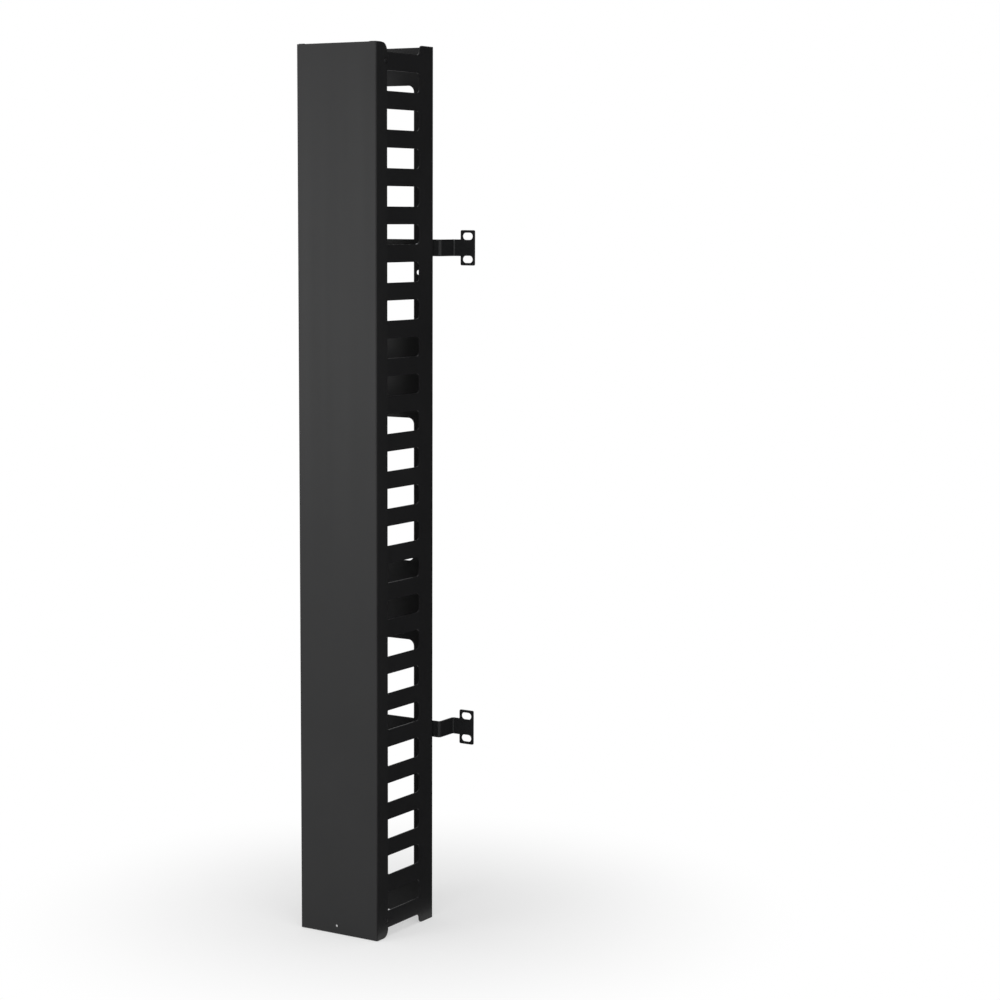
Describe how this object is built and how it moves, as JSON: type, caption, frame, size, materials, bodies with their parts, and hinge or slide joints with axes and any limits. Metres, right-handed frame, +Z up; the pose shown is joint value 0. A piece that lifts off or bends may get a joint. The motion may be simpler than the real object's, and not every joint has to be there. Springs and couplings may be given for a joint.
{
  "type": "vertical cable manager",
  "caption": "Tall folded steel cable duct with cable slots down both sides, windows in the back, a lift-off front cover and two jogged rack brackets.",
  "frame": {"origin": "centre of the lower end of the back panel, on its rear face", "axes": "+Z up along the duct, +X towards the rack and the bracket ears, -Y out of the front cover"},
  "size_m": [0.1731, 0.1774, 1.218],
  "materials": {
    "channel_coat": "satin black powder coat",
    "cover_coat": "satin black powder coat",
    "bracket_coat": "satin black powder coat",
    "zinc_plate": "zinc plated"
  },
  "bodies": {
    "channel": {"back_panel": "channel_coat", "left_side_wall": "channel_coat", "right_side_wall": "channel_coat", "left_cover_studs": "channel_coat", "right_cover_studs": "channel_coat", "upper_bracket": "bracket_coat", "lower_bracket": "bracket_coat", "upper_bracket_screws": "zinc_plate", "lower_bracket_screws": "zinc_plate", "upper_bracket_nuts": "zinc_plate", "lower_bracket_nuts": "zinc_plate"},
    "cover": {"front_cover": "cover_coat"}
  },
  "joints": [
    {"name": "cover_pull", "type": "slide", "parent": "channel", "child": "cover", "axis": [0, -1, 0], "range_m": [0, 0.06]}
  ]
}
